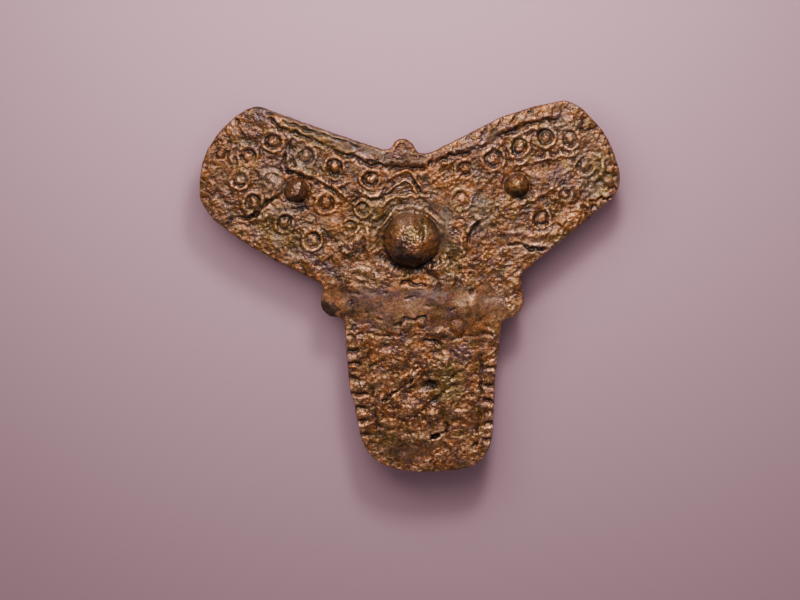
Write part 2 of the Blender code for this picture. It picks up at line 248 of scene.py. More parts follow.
@dataclass(frozen=True)
class Arc(Mark):
    """A part of a raised ring."""

    at: Place
    radius: float
    start: float  # in degrees, anticlockwise from +x
    end: float
    height: float = 0.3
    width: float = 0.35
    fading: float = 0.12  # share of its length over which each end fades
    moat_share: float = 0.4  # of its height
    moat_place: float = 1.8  # of its widths outside the crest

    def lift(self, face: Face) -> Array:
        """A crest that fades at both ends, with a moat outside it.

        Args:
            face: the points that it is drawn on.

        Returns:
            The height that it adds to each point.
        """
        turn = np.degrees(np.arctan2(face.y - self.at[1], face.x - self.at[0]))
        passed = np.mod(turn - self.start, 360) / ((self.end - self.start) % 360 or 360)
        fade = ease(passed / self.fading) * ease((1 - passed) / self.fading)
        away = face.away(self.at) - self.radius
        crest = self.height * bell(away, self.width)
        moat = self.moat_share * self.height * bell(away - self.moat_place * self.width, self.width)
        return fade * (crest - moat)


@dataclass(frozen=True)
class Boss(Mark):
    """A round boss with a moat."""

    at: Place
    radius: float
    height: float
    fullness: float = 0.62
    moat: float = 0.25

    def lift(self, face: Face) -> Array:
        """A dome with steep sides."""
        reach = face.away(self.at) / self.radius
        dome = np.clip(1 - reach**DOME_BULGE, 0, 1) ** self.fullness
        return self.height * dome - self.moat * bell(reach - MOAT_PLACE, MOAT_WIDTH)


@dataclass(frozen=True)
class Pit(Mark):
    """A hole or a hollow that isn't round."""

    at: Place
    radii: Place
    depth: float
    turn: float = 0.0

    def lift(self, face: Face) -> Array:
        """A bowl."""
        return -self.depth * ease(PIT_REACH - face.spread(self.at, self.radii, self.turn))


@dataclass(frozen=True)
class Line(Mark):
    """A groove, ridge or crack along a line of places."""

    places: tuple
    height: float  # negative for a groove
    width: float = 0.3
    taper: float = 0.12  # share of its length over which each end fades
    lip: float = 0.0  # of the metal beside it
    lip_place: float = 2.1  # of its widths from its middle
    bluntness: float = 0.15  # share of the full height that is left at the very ends

    def lift(self, face: Face) -> Array:
        """A rounded section that fades at both ends.

        Args:
            face: the points that it is drawn on.

        Returns:
            The height that it adds to each point.
        """
        away, share = face.along(self.places)
        fade = ease(share / self.taper + self.bluntness) * ease((1 - share) / self.taper + self.bluntness)
        lip = self.lip * bell(away - self.lip_place * self.width, self.width)
        return fade * (self.height * bell(away, self.width) + lip)


def fan(middle: Place, outer: Place, inner: Place, turns: range, depths: tuple, widths: tuple) -> list[Line]:
    """Strokes round the end of an upper lobe.

    Args:
        middle: of two ovals.
        outer: radii of the one where the strokes start.
        inner: radii of the one where they end.
        turns: their places, in degrees anticlockwise from +x.
        depths: that take turns.
        widths: that take turns.

    Returns:
        One groove for each place.
    """
    marks = []
    for k, turn in enumerate(turns):
        angle = math.radians(turn)
        x, y = math.cos(angle), math.sin(angle)
        ends = tuple((middle[0] + radii[0] * x, middle[1] + radii[1] * y) for radii in (outer, inner))
        marks.append(Line(ends, -depths[k % len(depths)], widths[k % len(widths)], 0.3))
    return marks


@dataclass(frozen=True)
class Zone:
    """A soft-edged oval part of the face."""

    at: Place
    radii: Place
    turn: float = 0.0
    softness: float = 0.35

    def cover(self, face: Face, ragged: Array) -> Array:
        """From 0 outside it to 1 inside, with an edge that is moved in and out by a share of the radii."""
        return ease((1 - face.spread(self.at, self.radii, self.turn) + ragged) / self.softness + 0.5)


class Tint(Enum):
    """The patina and dark stains over the bare brown metal, one of them also painted shade: a linear colour, and how
    strong it is in small stray spots all over.
    """

    PLUM = ((0.13, 0.075, 0.085), 0.5)
    RUST = ((0.36, 0.13, 0.025), 0.5)
    OLIVE = ((0.15, 0.105, 0.02), 0.45)
    ASH = ((0.20, 0.14, 0.088), 0.25)
    SAND = ((0.40, 0.22, 0.11), 0.0)
    # Near black: dark spots in cracks, pits and along the rim, painted shade on the dome's lower side and on the flanks
    # facing away from the lamps, and painted shadows under the two pellets.
    DARK_STAIN_AND_SHADE = ((0.016, 0.009, 0.006), 0.0)

    @property
    def colour(self) -> tuple:
        """Its linear colour."""
        return self.value[0]

    @property
    def stray(self) -> float:
        """The strength of its stray spots."""
        return self.value[1]

    @property
    def layer(self) -> str:
        """The name of the attribute that says where it lies."""
        return self.name.lower()


@dataclass(frozen=True)
class Patch:
    """An oval of one tint."""

    at: Place
    radii: Place
    turn: float = 0.0
    strength: float = 0.8


RING_ROWS = (
    ((-21.3, 15.0),), ((-25.1, 12.8),), ((-26.4, 9.1),),
    ((-24.4, 5.5), 1.8), ((-21.5, 9.2), 1.6, 0.5), ((-16.2, 12.8), 1.85),
    ((-11.8, 11.0), 1.85), ((-6.3, 9.3),), ((-19.6, 2.5),),
    ((-15.3, -0.1), 1.8), ((-13.1, 5.5), 1.8), ((-7.4, 4.7), 1.45),
    ((-9.4, 2.0), 1.4), ((8.2, 10.8), 1.7), ((12.5, 12.4), 1.95),
    ((16.3, 14.3), 1.85), ((20.4, 15.8), 1.8), ((24.0, 15.5), 1.7, 0.8),
    ((26.3, 11.3), 1.75), ((23.4, 7.2), 1.3, 0.55), ((19.8, 3.4), 1.8),
    ((7.5, 6.0), 1.8, 0.8),
)
RINGS = tuple(RingAndDot(*row) for row in RING_ROWS)
ARCS = (
    Arc((-6.3, 9.3), 2.5, 215, 330), Arc((-11.8, 11.0), 2.7, 190, 320),
    Arc((-16.2, 12.8), 2.7, 175, 300, 0.22), Arc((12.5, 12.4), 2.75, 60, 150, 0.25),
    Arc((-24.4, 5.5), 2.6, 250, 350, 0.25), Arc((26.3, 11.3), 2.6, 290, 60, 0.25),
    Arc((-25.1, 12.8), 2.5, 140, 215, 0.2), Arc((0.0, 0.0), 6.8, 145, 215, 0.22, 0.4),
    Arc((0.0, 0.0), 4.95, 20, 165, 0.36, 0.3),
)
BOSSES = (
    Boss((0.0, 0.0), 4.15, 3.7, 0.58, 0.3), Boss((-17.6, 7.5), 1.8, 1.6, 0.72),
    Boss((16.1, 8.5), 1.75, 1.5, 0.72), Boss((-29.2, 12.9), 0.75, 0.65, 0.6, 0.2),
    Boss((3.4, -27.6), 1.2, 0.45, 1.0, 0.1), Boss((9.2, -10.6), 2.8, 0.5, 1.4, 0.0),
    Boss((10.4, -13.2), 1.7, 0.35, 1.4, 0.0), Boss((-0.8, -13.2), 1.0, 0.3, 1.1, 0.12),
    Boss((1.7, -13.1), 0.7, 0.26, 1.1, 0.12), Boss((7.3, -13.5), 1.3, 0.28, 1.2, 0.1),
    Boss((4.2, -14.6), 1.1, 0.25, 1.2, 0.1),
)
PITS = (
    Pit((2.8, -22.5), (1.25, 1.0), 0.5, 20), Pit((3.7, -30.8), (0.75, 0.38), 1.0, 25),
    Pit((-16.9, 4.9), (1.2, 0.6), 0.25), Pit((27.8, 5.4), (0.7, 0.45), 0.3, 20),
    Pit((0.3, -5.6), (3.9, 1.5), 0.3), Pit((-4.2, -16.6), (1.2, 0.6), 0.3, 20),
    Pit((-4.9, -12.4), (0.5, 0.2), 0.35, -20), Pit((-8.5, -8.5), (0.4, 0.25), 0.3),
    Pit((-4.0, -8.1), (0.6, 0.25), 0.3, 20), Pit((8.9, -5.3), (0.35, 0.25), 0.35),
    Pit((9.4, -7.9), (0.45, 0.2), 0.3, 30), Pit((6.5, -10.6), (0.5, 0.22), 0.35, 35),
    Pit((-6.9, -11.4), (0.35, 0.2), 0.25), Pit((-0.5, -9.0), (0.9, 0.25), 0.25, 10),
    Pit((2.4, -10.3), (0.4, 0.2), 0.2, -30),
)
GROOVES = (
    Line(((-21.9, 18.9), (-20.2, 17.1), (-18.5, 16.3), (-16.0, 15.6), (-13.4, 14.5), (-11.8, 13.6), (-8.7, 12.5),
          (-5.9, 11.5), (-2.6, 10.9), (1.3, 10.9), (5.0, 12.4), (8.7, 13.5), (11.3, 14.6), (13.4, 15.8), (15.0, 16.5),
          (18.0, 17.7), (20.5, 18.4), (22.6, 18.4)), -0.4, 0.33, 0.03, 0.12),
    Line(((-22.5, 19.7), (-19.0, 18.6), (-14.3, 17.2), (-9.6, 15.6)), -0.25, 0.2, 0.1, 0.1),
    Line(((-20.0, 18.0), (-16.2, 16.9), (-12.2, 15.6), (-7.3, 13.8)), -0.22, 0.2, 0.1, 0.08),
    Line(((-18.1, 15.8), (-19.3, 13.2), (-19.9, 11.1), (-20.0, 9.4)), -0.35, 0.24),
    Line(((-20.0, 9.6), (-21.6, 7.6), (-22.5, 7.0)), -0.25, 0.25),
    Line(((-19.6, 10.7), (-17.2, 10.0), (-14.8, 8.5), (-12.5, 7.4), (-11.2, 6.7)), -0.38, 0.26),
    Line(((24.7, 17.0), (26.1, 16.7), (28.4, 17.3)), -0.35, 0.22),
    Line(((27.1, 16.0), (28.8, 15.2)), -0.2, 0.2),
    Line(((17.6, 13.0), (21.0, 13.4), (24.0, 12.6)), -0.16, 0.3),
    Line(((-10.3, -15.0), (-6.4, -14.7), (-2.5, -15.2)), -0.2, 0.25),
    Line(((6.2, -15.6), (8.3, -14.9), (10.0, -14.6), (13.6, -14.6)), -0.26, 0.22),
    Line(((-6.6, -16.6), (-6.6, -19.0), (-6.1, -21.3), (-6.1, -23.6), (-5.7, -27.0), (-5.0, -30.0), (-4.2, -32.3)),
         -0.3, 0.25),
    Line(((10.9, -15.6), (10.8, -19.2), (10.7, -22.1), (10.7, -24.6), (10.5, -28.0), (10.2, -31.2), (9.1, -33.4)),
         -0.3, 0.25),
    Line(((-6.4, -20.0), (-5.1, -19.2), (-3.6, -18.3)), -0.35, 0.22),
    Line(((-4.6, -25.6), (-3.2, -24.3), (-1.3, -22.8), (0.4, -21.5)), -0.42, 0.22, 0.12, 0.1),
    Line(((5.6, -23.6), (3.6, -25.0), (1.8, -26.6), (0.6, -28.2)), -0.28, 0.3),
    Line(((6.2, -21.8), (7.6, -20.3), (9.4, -18.8)), -0.25, 0.25),
    Line(((-9.4, -7.4), (-9.0, -10.0), (-9.4, -12.6)), -0.14, 0.5),
    Line(((10.8, -11.8), (11.6, -13.2), (12.6, -14.0)), -0.2, 0.35),
)
RIDGES = (
    Line(((-19.5, 11.3), (-16.8, 10.7), (-13.2, 8.8), (-11.0, 7.5), (-9.9, 6.1)), 0.3, 0.3),
    Line(((14.4, 10.9), (16.0, 11.7), (19.2, 12.4), (22.4, 13.0), (25.6, 13.4)), 0.32, 0.3),
    Line(((14.9, 4.9), (17.0, 5.8), (18.8, 6.7), (20.6, 7.6), (21.9, 8.6)), 0.3, 0.28),
    Line(((15.8, 3.9), (18.3, 5.0), (20.6, 6.0), (22.6, 6.6)), 0.26, 0.26),
    Line(((10.9, 3.9), (9.2, 2.6), (8.2, 1.1), (7.7, -0.6), (7.8, -3.0)), 0.55, 0.33),
    Line(((13.0, 2.2), (15.6, 1.2), (18.6, 0.6), (22.4, 1.4)), 0.2, 0.5),
    Line(((-12.3, -3.6), (-9.6, -1.6), (-8.0, 0.4)), 0.25, 0.4),
)
ARCHES = (  # over the dome
    Line(((-3.9, 9.3), (-2.5, 10.1), (-1.0, 10.6), (0.2, 10.3), (0.9, 8.8), (2.1, 7.2)), 0.32, 0.25, 0.2, -0.06),
    Line(((-4.2, 6.8), (-2.6, 8.2), (-1.0, 9.1), (0.1, 8.3), (1.3, 6.9)), 0.32, 0.23, 0.2, -0.06),
    Line(((-5.1, 4.9), (-3.6, 6.1), (-2.0, 6.7), (0.4, 6.9), (2.6, 6.4), (3.6, 5.8)), 0.3, 0.25, 0.2, -0.04),
)
CRACKS = (
    Line(((-27.0, 3.4), (-25.7, 3.2), (-24.2, 3.7), (-23.2, 4.8), (-22.2, 5.9), (-20.3, 6.9)), -0.75, 0.27, 0.2, 0.1),
    Line(((27.1, 6.0), (28.3, 6.2), (28.9, 6.8), (29.4, 6.3), (30.6, 6.9)), -0.55, 0.14, 0.1, 0.1),
    Line(((14.2, -0.8), (16.6, -0.6), (18.4, -1.3), (20.9, -1.5)), -0.7, 0.2, 0.15, 0.1),
    Line(((-1.9, -6.9), (-0.6, -6.5), (0.6, -6.9), (2.9, -7.2)), -0.5, 0.24, 0.2, 0.03),
    Line(((-2.8, -13.1), (-1.9, -12.9), (-1.2, -12.3), (-0.2, -12.1), (0.6, -12.4), (1.1, -12.1),
          (1.9, -12.0), (2.5, -12.6)), -0.5, 0.22, 0.15, 0.02),
    Line(((1.6, -15.5), (2.4, -15.8), (4.4, -15.9)), -0.4, 0.3, 0.2, 0.03),
    Line(((4.1, -30.6), (5.3, -30.0), (5.7, -29.0), (5.2, -28.3)), -0.4, 0.18, 0.3),
    Line(((1.9, 3.6), (2.1, 1.6), (2.0, -0.6)), -0.28, 0.14, 0.3),
    Line(((5.4, -2.0), (7.0, -3.6), (7.6, -5.6)), -0.25, 0.25),
    Line(((10.9, 3.1), (9.6, 2.1), (8.8, 0.8), (8.4, -0.8)), -0.35, 0.2, 0.25, 0.06),
)

LEFT_NOTCHES = (-17.4, -19.5, -21.8, -24.0, -26.5, -28.4, -30.5)
RIGHT_NOTCHES = (-19.8, -22.5, -25.0, -26.8, -28.5, -31.1)
LEFT_BORDER = (-13.0, -7.8)  # where the left border's notches start and end
RIGHT_BORDER = (16.0, 11.1)
BORDER_SLANT = 0.125  # of the left border's inner edge
RIM_STROKES = 6  # across the right lobe's upper border
RIM_START = (8.5, 14.2)
RIM_PITCH = 2.4
RIM_SLOPE = 0.465


def border_notches() -> list[Line]:
    """The grooves across the borders, each a little unlike the last.

    Returns:
        Those of the lower lobe's two borders, and the strokes round the ends and along the rim of the upper lobes.
    """
    marks = []
    for k, y in enumerate(LEFT_NOTCHES):
        end = LEFT_BORDER[1] - BORDER_SLANT * (y - LEFT_NOTCHES[0]) + 0.2 * (k % 2)
        marks.append(Line(((LEFT_BORDER[0], y + 0.3), (end, y)), -0.36 - 0.1 * (k % 2), 0.36, 0.18, 0.08))
    for k, y in enumerate(RIGHT_NOTCHES):
        end = RIGHT_BORDER[1] - 0.25 * (k % 2)
        marks.append(Line(((RIGHT_BORDER[0], y + 0.2), (end, y)), -0.3 - 0.06 * (k % 3), 0.34, 0.18, 0.08))
    marks += fan((23.2, 11.5), (10.0, 9.6), (6.3, 6.4), range(66, -77, -13), (0.22, 0.27, 0.32), (0.22, 0.26))
    marks += fan((-23.4, 9.0), (9.6, 10.4), (6.4, 7.0), range(112, 265, 17), (0.14, 0.19), (0.4,))
    for k in range(RIM_STROKES):
        x = RIM_START[0] + RIM_PITCH * k
        y = RIM_START[1] + RIM_SLOPE * (x - RIM_START[0])
        marks.append(Line(((x + 0.5, y + 2.4), (x - 0.3, y + 0.6)), -0.2, 0.24, 0.3))
    return marks


SMOOTH_ZONES = (
    Zone((-1.0, -10.6), (11.0, 3.6)), Zone((9.5, -10.8), (5.0, 4.0)), Zone((4.3, 2.0), (1.8, 4.6)),
    Zone((-0.6, -33.4), (4.0, 1.7)), Zone((-11.8, -9.8), (3.0, 2.8)), Zone((-14.0, 16.7), (9.5, 1.3), -22),
)
LUMPY_ZONES = (
    Zone((2.3, -23.0), (7.4, 9.4)), Zone((-7.5, -3.2), (6.0, 4.4)), Zone((5.5, -5.2), (4.0, 2.6)),
    Zone((24.0, 2.5), (5.0, 3.0), 40), Zone((4.0, 8.8), (4.0, 2.6), 20),
)
NECK = Zone((0.8, -11.6), (14.6, 3.6), 0.0, 0.7)

PATCH_ROWS = {
    Tint.PLUM: (
        ((-4.5, -8.3), (3.0, 1.2)), ((-5.2, -11.6), (3.0, 2.4), 0, 0.6),
        ((-0.2, -8.6), (4.2, 0.9)), ((13.2, -9.1), (1.4, 1.0)), ((-1.9, -15.3), (1.4, 0.9)),
        ((-4.0, -16.9), (1.5, 0.8)), ((10.4, 2.6), (1.5, 2.0)), ((19.0, -1.0), (3.0, 1.2)),
        ((-28.6, 8.8), (1.0, 2.0)), ((-1.2, -1.8), (3.0, 2.0), 0, 0.7),
        ((-20.0, 11.5), (3.6, 1.8), 0, 0.5), ((22.0, 9.8), (4.0, 1.6), 10, 0.5),
        ((7.6, -17.4), (1.6, 1.6), 0, 0.7), ((6.2, -11.2), (2.0, 1.0), 0, 0.5),
        ((-22.6, 19.2), (1.6, 1.4), 0, 0.8), ((-14.6, -3.4), (4.6, 0.8), -28, 0.7),
        ((9.6, 5.4), (0.9, 2.2), 0, 0.8), ((-3.0, 12.4), (6.0, 1.0), -8, 0.55),
        ((10.0, 14.6), (6.0, 1.0), 22, 0.5), ((-17.6, 7.2), (1.8, 1.6), 0, 0.35),
        ((-7.8, -9.6), (3.4, 1.8), 0, 0.55), ((3.2, -9.4), (3.0, 1.4), 0, 0.5),
        ((-9.0, -13.2), (3.0, 1.2), 0, 0.4),
    ),
    Tint.RUST: (
        ((1.7, -6.0), (1.9, 0.8), 0, 0.9), ((-11.9, -9.0), (1.7, 2.2), 20, 0.5),
        ((2.0, 11.6), (7.5, 1.8), 8, 0.6), ((6.5, 8.2), (3.2, 2.6), 0, 0.6),
        ((-12.8, 5.6), (2.2, 2.2), 0, 0.6), ((-5.9, -17.6), (1.6, 2.2), 0, 0.6),
        ((-28.5, 10.5), (1.6, 3.0), 0, 0.5), ((10.8, -12.7), (2.2, 1.5), 0, 0.6),
        ((-11.5, 4.0), (2.2, 6.0), 60, 0.4), ((24.5, 3.5), (3.4, 1.6), 40, 0.5),
        ((1.0, -1.4), (1.6, 2.2), 0, 0.5),
    ),
    Tint.OLIVE: (
        ((5.6, -22.2), (2.6, 3.6), 0, 0.75), ((-6.0, 3.5), (5.0, 3.4), 30, 0.5),
        ((-20.5, 1.0), (5.0, 2.2), -35, 0.55), ((28.4, 10.0), (1.6, 4.0), 0, 0.6),
        ((11.0, 4.6), (2.6, 2.2), 0, 0.5), ((-4.0, -31.0), (2.4, 2.0), 0, 0.5),
        ((6.0, -2.6), (2.2, 3.0), 0, 0.55), ((-16.0, 16.0), (6.0, 1.2), -22, 0.5),
        ((1.2, 1.8), (2.6, 1.6), 20, 0.6), ((16.1, 8.0), (1.7, 1.3), 0, 0.4),
    ),
    Tint.ASH: (
        ((1.2, 5.1), (4.4, 1.2), 0, 0.5), ((5.2, 2.0), (1.5, 3.8), 0, 0.65),
        ((-14.0, 16.9), (9.5, 0.7), -22, 0.6), ((-0.6, 3.3), (2.4, 0.9), 0, 0.6),
        ((22.5, 16.9), (3.0, 1.1), 10, 0.6), ((27.0, 8.8), (1.6, 2.4), 0, 0.5),
        ((11.2, 4.2), (1.0, 2.6), 0, 0.6), ((-21.6, 9.0), (2.2, 2.2), 0, 0.55),
        ((-16.0, 12.6), (2.6, 2.0), 0, 0.5), ((-19.0, 3.8), (3.6, 1.6), -20, 0.4),
    ),
    Tint.SAND: (
        ((9.4, -10.4), (2.8, 2.4), 0, 0.25), ((13.6, -9.6), (1.8, 2.6), 0, 0.35),
        ((-0.6, -10.6), (4.8, 1.6), 0, 0.4), ((17.6, -0.9), (4.0, 1.2), 8, 0.55),
        ((-7.0, -5.6), (4.0, 2.4), 0, 0.4), ((26.0, 15.0), (3.4, 2.6), 0, 0.35),
    ),
    # Painted shade: (-0.4, -3.2) and (0.2, -3.5) darken the dome's lower side. Painted shadows: (-17.5, 6.2), (-17.2,
    # 5.2), (16.1, 7.3) and (16.6, 6.6) lie under the two pellets. The rest darken cracks, pits, the rim and other
    # spots.
    Tint.DARK_STAIN_AND_SHADE: (
        ((2.6, -15.6), (1.6, 0.5), -8, 0.6), ((-12.6, -10.8), (2.0, 1.2), -30, 0.85),
        ((-23.3, 20.4), (1.3, 0.8), 0, 0.8), ((-23.1, 13.6), (0.7, 0.5), 0, 0.6),
        ((-9.0, -2.9), (1.4, 0.7), -20, 0.4), ((-12.6, -5.0), (3.4, 0.6), -28, 0.6),
        ((-0.6, -33.4), (4.8, 2.0), 0, 0.35), ((-0.4, -3.2), (4.0, 1.3), 0, 0.9),
        ((-17.5, 6.2), (1.7, 0.7), 0, 0.7), ((16.1, 7.3), (1.6, 0.6), 0, 0.7),
        ((1.0, 12.2), (9.0, 1.3), 4, 0.55), ((2.9, -22.6), (1.2, 0.9), 20, 0.7),
        ((3.7, -30.8), (0.75, 0.4), 25, 1.0), ((0.2, -3.5), (3.4, 1.6), 0, 1.0),
        ((-17.2, 5.2), (1.7, 0.9), 0, 0.85), ((16.6, 6.6), (1.6, 0.7), 0, 0.75),
        ((-24.6, 3.6), (1.6, 0.5), 0, 0.7), ((27.6, 5.2), (0.9, 0.6), 20, 0.6),
        ((18.6, -1.4), (2.6, 0.4), 0, 0.8), ((-1.5, 11.0), (4.0, 0.35), 3, 0.6),
    ),
}
PATCHES = {tint: [Patch(*row) for row in rows] for tint, rows in PATCH_ROWS.items()}


@dataclass
class Carving:
    """The relief of the face, worked out for a set of points. Its sizes are in millimetres."""

    points: Array  # (x, y, z) from the middle of the dome on the ground
    face: Face
    field_depth: float = 0.17
    field_slope: float = 1.4  # over which the field sinks
    border: float = 2.5
    border_wander: float = 0.8
    zone_wander: float = 0.4  # share of a zone's radii that its edge moves in and out
    rubbed_off: float = 0.72  # share of the grain that is gone in the smooth zones
    grit: float = 0.046
    lump_height: float = 0.24
    least_lumps: float = 0.25  # share of that height outside the lumpy zones
    swelling: float = 0.22

    def fields(self) -> Array:
        """How far each point lies in a sunken field, from 0 to 1."""
        uneven = self.face.edge + self.border_wander * grain(self.points, 2.4, Basis.CLOUDS, Seed.FIELD_EDGES, 2)
        inside = ease((uneven - self.border) / self.field_slope + 0.5)
        return inside * (1 - NECK.cover(self.face, self.ragged()))

    def ragged(self) -> Array:
        """How far the edges of the zones are moved."""
        return self.zone_wander * grain(self.points, 2.2, Basis.CLOUDS, Seed.ZONE_EDGES, 4)

    def strongest(self, zones: tuple[Zone, ...], least: float) -> Array:
        """The strongest cover of some zones at each point.

        Args:
            zones: the zones.
            least: the value where there is none.

        Returns:
            From that value to 1.
        """
        ragged = self.ragged()
        cover = np.full(len(self.face.x), least)
        for zone in zones:
            cover = np.maximum(cover, zone.cover(self.face, ragged))
        return cover

    def roughness(self) -> Array:
        """How strong the grain is, from about 0.3 on worn metal to 1."""
        return 1 - self.rubbed_off * self.strongest(SMOOTH_ZONES, 0.0)

    def lumps(self) -> Array:
        """The casting lumps, strongest in the lumpy zones."""
        large = -grain(self.points, 1.8, Basis.LUMPS, Seed.LARGE_LUMPS)
        small = -grain(self.points, 0.65, Basis.LUMPS, Seed.SMALL_LUMPS)
        return self.lump_height * self.strongest(LUMPY_ZONES, self.least_lumps) * (0.6 * large + 0.4 * small)

    def drawn(self) -> Face:
        """The points as the maker's hand draws rings and bosses on them."""
        return self.face.wandering(self.points, 0.3, 2.6)

    def lift(self) -> Array:
        """Adds up all the relief but the bosses. Wear has left 0.15 to 1.3 of the shallow carving.

        Returns:
            The height of the face over its borders.
        """
        drawn = self.drawn()
        scratched = self.face.wandering(self.points, 0.4, 1.1)
        left = np.clip(0.8 + 1.1 * grain(self.points, 1.4, Basis.CLOUDS, Seed.WORN_CARVING, 3), 0.15, 1.3)
        height = -self.field_depth * self.fields()
        for mark in RINGS + ARCS:
            height += left * mark.lift(drawn)
        for mark in GROOVES + RIDGES:
            height += left * mark.lift(scratched)
        for mark in ARCHES + CRACKS + PITS + tuple(border_notches()):
            height += mark.lift(scratched)
        height += self.swelling * grain(self.points, 3.4, Basis.CLOUDS, Seed.SWELLINGS, 2)
        return height + self.roughness() * (self.lumps() + self.foil())

    def bosses(self) -> Array:
        """The height that the bosses add."""
        drawn = self.drawn()
        return sum(mark.lift(drawn) for mark in BOSSES)

    def foil(self) -> Array:
        """The crumpled grain of the corroded face."""
        coarse = crumple(self.points, 1.3, Seed.CRUMPLES)
        fine = crumple(self.points, 0.62, Seed.FINE_CRUMPLES)
        return self.grit * (coarse + 0.8 * fine + 0.8 * grain(self.points, 0.4, Basis.CLOUDS, Seed.GRIT))


@dataclass
class Patina:
    """Where each tint lies."""

    points: Array
    face: Face
    softness: float = 0.5  # of the patches' edges, as a share of their radii
    wander: float = 0.45

    def cover(self, tint: Tint, order: int) -> Array:
        """How far a tint covers each point, with ragged edges.

        Args:
            tint: the tint.
            order: its place among the tints, which moves its grain.

        Returns:
            From 0 where it isn't to 1 where it hides the metal.
        """
        ragged = self.wander * grain(self.points, 0.8, Basis.SOFT, Seed.PATINA + order, 3)
        cover = np.zeros(len(self.face.x))
        for patch in PATCHES[tint]:
            away = self.face.spread(patch.at, patch.radii, patch.turn)
            cover = np.maximum(cover, patch.strength * ease((1 - away + ragged) / self.softness + 0.3))
        if tint.stray:
            stray = grain(self.points, 1.3, Basis.SOFT, Seed.STRAY_PATINA + order, 3)
            cover = np.maximum(cover, tint.stray * ease(2.2 * stray - 0.25))
        return cover


@dataclass(frozen=True)
class Bronze:
    """Waxed copper alloy: brown in its hollows and golden on its crests, partly from dirt and wear and partly painted
    shade and painted highlights, with patches of patina.
    """

    name: str = "patinated bronze"
    metallic: float = 0.72
    least_metallic: float = 0.5  # in the dirt of the hollows
    coat: float = 0.26
    coat_roughness: float = 0.1
    coat_ior: float = 1.6
    tones: tuple = (
        (0.0, (0.012, 0.006, 0.003)),  # pits: dark dirt and painted shade
        (0.28, (0.066, 0.022, 0.005)),  # hollows: patina and painted shade
        (0.5, (0.185, 0.071, 0.019)),  # the level metal
        (0.7, (0.34, 0.146, 0.047)),  # crests: rubbed metal and painted highlight
        (0.94, (0.92, 0.54, 0.33)),  # painted glints
    )
    tone_level: float = 1.525  # taken off the sum of relief and grains
    mottle: tuple = (1500, 5, 0.65)  # grains a metre, detail and roughness
    speckle: tuple = (4200, 3, 0.7)
    hues: tuple = (2300, 3, 0.6)
    drifts: tuple = (420, 3, 0.6)
    smears: tuple = (330, 3, 0.6)
    beads: tuple = (1900, 1, 0.5)
    bead_height: float = 0.2 * MM

    def make(self) -> Material:
        """Builds the material.

        Returns:
            A material that reads the attributes "relief" and "roughness", and one for each tint.
        """
        material = bpy.data.materials.new(self.name)
        material.use_nodes = True
        tree = material.node_tree
        bench = Bench(tree)
        uneven = bench.attribute("roughness")
        mottle = bench.grain(*self.mottle)
        speckle = bench.grain(*self.speckle)
        # The tone paints shade into the hollows and highlights onto the crests, from the relief attribute and the
        # painted light kept with it, over the grains of the metal.
        parts = ((bench.attribute("relief"), 1.0), (mottle, 0.8), (speckle, 1.3), (bench.grain(*self.drifts), 0.85))
        tone = bench.sum(*parts, less=self.tone_level)
        beads = bench.times(bench.grain(*self.beads), uneven)
        inputs = {
            "Base Color": self.colour(bench, tone),
            "Metallic": bench.range(tone, 0.15, 0.6, self.least_metallic, self.metallic),
            "Roughness": self.roughness(bench, mottle, uneven),
            "Normal": bench.bump(bench.sum((speckle, 0.2), (beads, 1.0), less=0.0), self.bead_height),
            "Coat Normal": bench.bump(beads, self.bead_height),
            "Coat Weight": self.coat,
            "Coat Roughness": self.coat_roughness,
            "Coat IOR": self.coat_ior,
        }
        bench.fill(tree.nodes["Principled BSDF"], inputs)
        return material

    def colour(self, bench: "Bench", tone: Socket) -> Socket:
        """Lays the patina, the dark stains and the painted shade over the bare metal.

        Args:
            bench: where the nodes are laid out.
            tone: how light each place is.

        Returns:
            The colour.
        """
        colour = bench.ramp(tone, *self.tones)
        hues = bench.grain(*self.hues)
        for tint, low, high in ((Tint.OLIVE, 0.52, 0.66), (Tint.PLUM, 0.48, 0.34)):
            share = bench.range(hues, low, high, 0.0, 0.4)
            colour = bench.blend(share, colour, bench.shaded(tint.colour, tone))
        for tint in Tint:
            colour = bench.blend(bench.attribute(tint.layer), colour, bench.shaded(tint.colour, tone))
        return colour

    def roughness(self, bench: "Bench", mottle: Socket, uneven: Socket) -> Socket:
        """Makes worn metal dull and the wax on the uneven metal glossy, in spots and smears.

        Args:
            bench: where the nodes are laid out.
            mottle: the grain of the spots.
            uneven: how rough the form is.

        Returns:
            The roughness.
        """
        spots = bench.range(mottle, 0.35, 0.65, 0.0, 0.2)
        smears = bench.range(bench.grain(*self.smears), 0.42, 0.6, 0.0, 0.22)
        return bench.sum((spots, 1.0), (smears, 1.0), (uneven, -0.27), less=-0.48)


